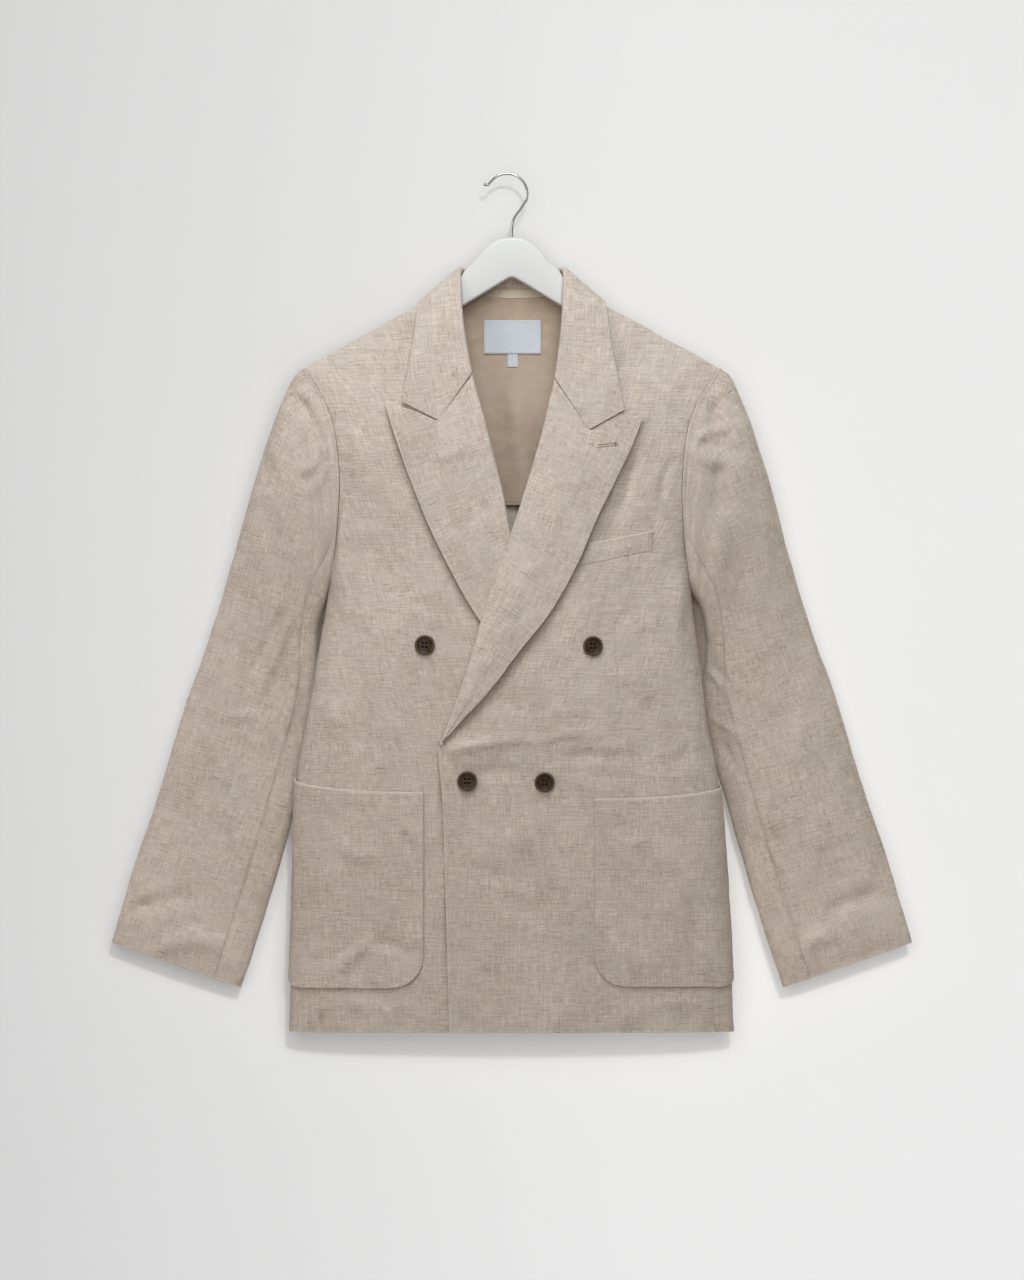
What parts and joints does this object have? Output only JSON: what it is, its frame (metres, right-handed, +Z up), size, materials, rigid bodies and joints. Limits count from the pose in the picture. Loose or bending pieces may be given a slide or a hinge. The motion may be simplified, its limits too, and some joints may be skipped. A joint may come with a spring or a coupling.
{
  "type": "double-breasted blazer on a clothes hanger",
  "caption": "Double-breasted linen blazer with peak lapels, patch pockets and a breast welt, hanging flat from a painted hanger with a wire hook.",
  "frame": {"origin": "where the hook rests on its rail: the inside of the hook's bend, above the middle of the hanger", "axes": "+X to the wearer's left, which is a viewer's right from in front; +Y from front to back; +Z up"},
  "size_m": [0.8408, 0.1069, 0.9011],
  "materials": {
    "linen": "plain-weave linen, pale sand, matt, slubbed",
    "lining": "satin lining, taupe, soft sheen",
    "label": "woven satin label, pale grey, blank",
    "loop": "satin tape, cream",
    "button": "dark brown horn, polished rim",
    "hanger": "white satin paint on wood",
    "hook": "bright chrome wire"
  },
  "bodies": {
    "root": {"front_left": "linen", "front_right": "linen", "side_left": "linen", "side_right": "linen", "back_left": "linen", "back_right": "linen", "top_sleeve_left": "linen", "top_sleeve_right": "linen", "under_sleeve_left": "linen", "under_sleeve_right": "linen", "lapel_left": "linen", "lapel_right": "linen", "collar": "linen", "pocket_left": "linen", "pocket_right": "linen", "chest_welt": "linen", "back_lining": "lining", "label": "label", "size_tab": "label", "hanging_loop": "loop", "button_upper_left": "button", "button_upper_right": "button", "button_lower_left": "button", "button_lower_right": "button", "hanger": "hanger", "hook": "hook"}
  },
  "joints": []
}
